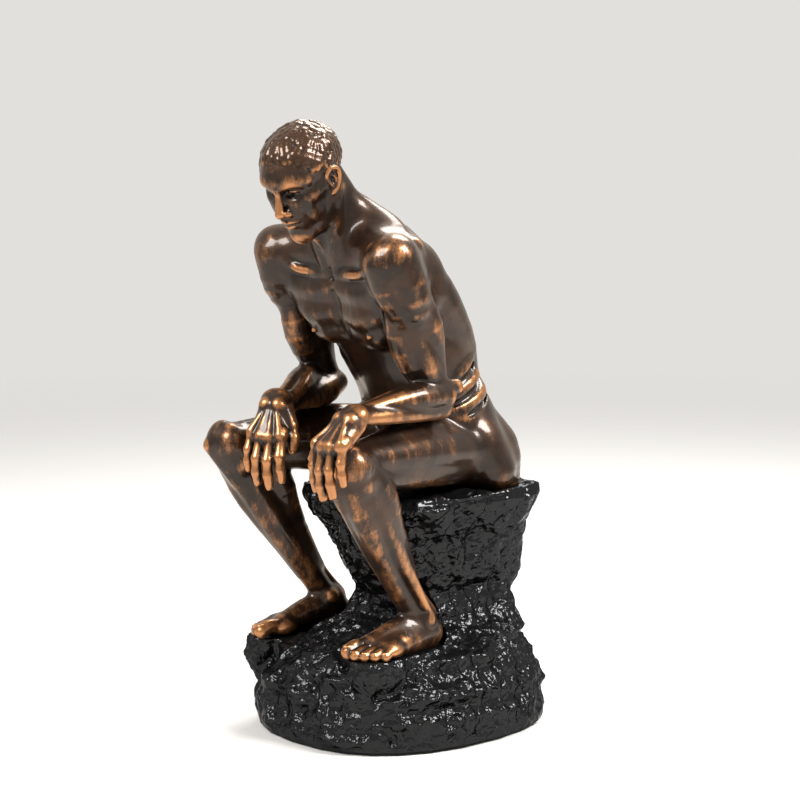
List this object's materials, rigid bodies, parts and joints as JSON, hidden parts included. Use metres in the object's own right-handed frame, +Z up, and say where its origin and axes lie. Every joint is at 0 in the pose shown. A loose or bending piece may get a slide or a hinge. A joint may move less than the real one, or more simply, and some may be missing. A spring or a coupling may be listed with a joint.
{
  "type": "thinker statue",
  "caption": "Tabletop statue of a seated figure resting in thought on a craggy rock, cast in doweled parts, with a felt underside to rest on.",
  "frame": {"origin": "middle of the felt pad's underside, on the surface that the statue stands on", "axes": "+Z up; the figure faces -Y, its left side is +X"},
  "size_m": [0.1118, 0.139, 0.2603],
  "materials": {
    "figure_resin": "dark bronze-painted cold-cast resin, rubbed back to copper on the high points, satin to glossy",
    "rock_resin": "glossy black lacquer over pitted, craggy cast resin",
    "board": "plain brown hardboard",
    "felt": "black felt",
    "dowel_steel": "plain drawn steel"
  },
  "bodies": {
    "root": {"rock_pedestal": "rock_resin", "base_board": "board", "felt_pad": "felt", "torso": "figure_resin", "head": "figure_resin", "left_arm": "figure_resin", "right_arm": "figure_resin", "left_leg": "figure_resin", "right_leg": "figure_resin", "neck_dowel": "dowel_steel", "arm_dowels": "dowel_steel", "leg_dowels": "dowel_steel", "seat_dowels": "dowel_steel", "foot_dowels": "dowel_steel"}
  },
  "joints": []
}
